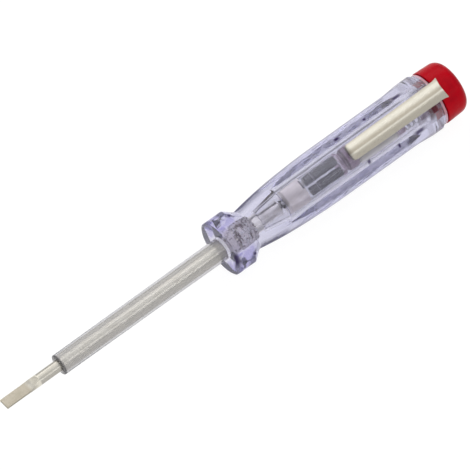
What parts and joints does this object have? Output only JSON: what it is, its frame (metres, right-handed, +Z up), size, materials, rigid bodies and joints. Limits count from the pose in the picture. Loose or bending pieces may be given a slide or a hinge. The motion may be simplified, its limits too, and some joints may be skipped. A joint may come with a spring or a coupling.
{
  "type": "voltage tester screwdriver",
  "caption": "Mains voltage tester screwdriver: insulated flat blade, clear hexagonal handle with a neon lamp, resistor and spring inside, metal pocket clip and red end cap.",
  "frame": {"origin": "bottom centre of the bounding box, on the tool's axis seen from above, with the tool lying on one flat of its handle", "axes": "+X along the tool from the blade's tip to the red cap; +Z up; the pocket clip faces up and 25.6 degrees towards -Y"},
  "size_m": [0.14, 0.0158, 0.0167],
  "materials": {
    "blade_steel": "nickel-plated steel, satin",
    "clear_sleeve": "clear extruded tube",
    "clear_handle": "clear moulding with a faint violet tint, polished",
    "red_plastic": "saturated red moulding, slightly glossy",
    "clip_nickel": "nickel-plated spring steel strip, bright",
    "lamp_cap_nickel": "drawn nickel-plated cup, satin",
    "lamp_glass": "thin clear glass",
    "electrode_metal": "dull dark coated nickel rod",
    "bright_wire": "tinned wire",
    "solder": "shiny solder",
    "resistor_lacquer": "mauve lacquer",
    "resistor_ceramic": "pale fired body",
    "spring_steel": "bright plated spring wire"
  },
  "bodies": {
    "tester": {"blade": "blade_steel", "blade_sleeve": "clear_sleeve", "handle": "clear_handle", "front_solder_bead": "solder", "lamp_front_cap": "lamp_cap_nickel", "lamp_glass": "lamp_glass", "lamp_stem": "lamp_glass", "front_electrode": "electrode_metal", "rear_electrode": "electrode_metal", "front_lead": "bright_wire", "rear_lead": "bright_wire", "rear_solder_bead": "solder", "resistor_front_cap": "resistor_lacquer", "resistor_core": "resistor_ceramic", "resistor_rear_cap": "resistor_lacquer", "resistor_lead": "bright_wire", "contact_spring": "spring_steel", "clip_foot": "clip_nickel"},
    "clip": {"pocket_clip": "clip_nickel"},
    "cap": {"cap": "red_plastic"}
  },
  "joints": [
    {"name": "cap_pull", "type": "slide", "parent": "tester", "child": "cap", "axis": [1, 0, 0], "range_m": [0, 0.01]},
    {"name": "clip_flex", "type": "hinge", "parent": "tester", "child": "clip", "pos_m": [0.06388, -0.00283, 0.01351], "axis": [0, 0.9018, 0.4321], "range_deg": [0, 5.5], "stiffness_Nm_per_rad": 0.85}
  ]
}
